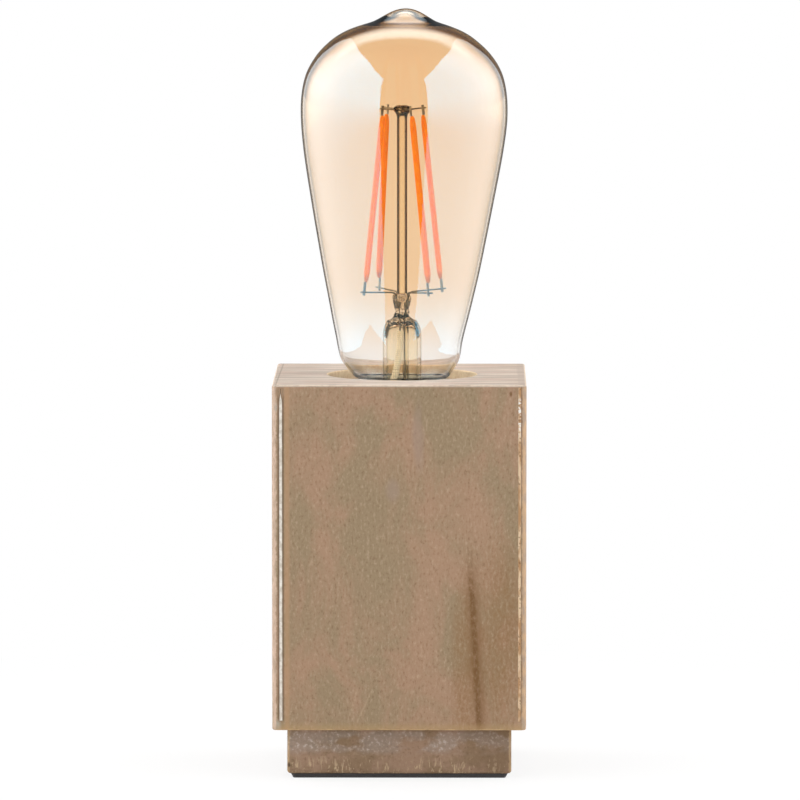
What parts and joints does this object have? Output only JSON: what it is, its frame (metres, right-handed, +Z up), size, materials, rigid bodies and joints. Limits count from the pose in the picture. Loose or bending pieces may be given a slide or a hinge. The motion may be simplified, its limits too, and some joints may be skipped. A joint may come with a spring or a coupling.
{
  "type": "bare bulb table lamp",
  "caption": "Bare filament bulb standing in a screw lampholder sunk in the top of a wooden block, which stands on a set-back plinth with a foam foot.",
  "frame": {"origin": "centre of the foot pad's underside, on the surface that the lamp stands on", "axes": "+Z up along the bulb's axis, -Y out of the front face with the pale strip beside its left edge, +X to the right"},
  "size_m": [0.078, 0.078, 0.2356],
  "materials": {
    "block_wood": "stained pale brown, fine upright grain, satin",
    "plinth_wood": "stained brown, matt",
    "foot_foam": "black foam, matt",
    "zinc_steel": "zinc plated",
    "pale_filler": "off-white filler, matt",
    "stained_filler": "stained filler with pale chips, matt",
    "black_plastic": "matt",
    "holder_black": "black thermoset, soft gloss",
    "white_ceramic": "steatite, matt",
    "contact_brass": "bright",
    "clear_grey_plastic": "grey, glossy",
    "lead_brown": "insulated lead",
    "lead_blue": "insulated lead",
    "solder": "tinned",
    "amber_glass": "amber tint that fades towards the neck",
    "clear_glass": "clear",
    "nickel_cap": "nickel plated",
    "black_vitrite": "black glass insulator, glossy",
    "cement": "matt",
    "filament_phosphor": "orange coated strip",
    "mount_wire": "bare wire",
    "cream_sleeve": "woven glass sleeve",
    "board_green": "solder mask",
    "capacitor_black": "sleeved can",
    "chip_black": "moulded"
  },
  "bodies": {
    "base": {"wood_block": "block_wood", "plinth": "plinth_wood", "foot_pad": "foot_foam", "plinth_screws": "zinc_steel", "edge_strip_left": "pale_filler", "edge_strip_right": "stained_filler", "cable_grommet": "black_plastic", "threaded_tube": "zinc_steel", "tube_washer": "zinc_steel", "tube_lock_washer": "zinc_steel", "tube_nut": "zinc_steel", "holder_dome": "holder_black", "dome_grub_screw": "zinc_steel", "holder_skirt": "holder_black", "holder_insert": "white_ceramic", "screw_shell": "contact_brass", "shell_rivets": "contact_brass", "centre_terminal": "contact_brass", "shell_terminal": "contact_brass", "terminal_screws": "zinc_steel", "connector_live": "clear_grey_plastic", "connector_neutral": "clear_grey_plastic", "lead_live": "lead_brown", "lead_neutral": "lead_blue"},
    "centre_tongue": {"centre_tongue": "contact_brass"},
    "bulb_tip": {"tip_contact": "solder"},
    "bulb": {"bulb_glass": "amber_glass", "cap_shell": "nickel_cap", "cap_insulator": "black_vitrite", "cap_cement": "cement", "filament_right_back": "filament_phosphor", "filament_left_back": "filament_phosphor", "filament_left_front": "filament_phosphor", "filament_right_front": "filament_phosphor", "filament_tabs": "mount_wire", "stem_tube": "clear_glass", "pillar_rod": "clear_glass", "wire_low_left": "mount_wire", "wire_low_right": "mount_wire", "wire_high_front": "mount_wire", "wire_high_back": "mount_wire", "exhaust_tube": "clear_glass", "stem_wire_left": "mount_wire", "wire_sleeve": "cream_sleeve", "stem_wire_right": "mount_wire", "driver_board": "board_green", "driver_capacitor": "capacitor_black", "driver_rectifier": "chip_black", "driver_chip": "chip_black", "driver_resistor": "chip_black", "tip_wire": "mount_wire", "rim_wire": "mount_wire"}
  },
  "joints": [
    {"name": "bulb_rise", "type": "slide", "parent": "base", "child": "bulb_tip", "axis": [0, 0, 1], "range_m": [0, 0.031]},
    {"name": "bulb_turn", "type": "hinge", "parent": "bulb_tip", "child": "bulb", "pos_m": [0.0006, 0, 0.1074], "axis": [0, 0, 1], "range_deg": [0, 3060]},
    {"name": "tongue_flex", "type": "hinge", "parent": "base", "child": "centre_tongue", "pos_m": [-0.0041, 0, 0.09155], "axis": [0, 1, 0], "range_deg": [0, 10], "stiffness_Nm_per_rad": 0.1}
  ],
  "couplings": [
    {"joint": "bulb_rise", "follows": "bulb_turn", "m_per_rad": 0.0005775}
  ]
}
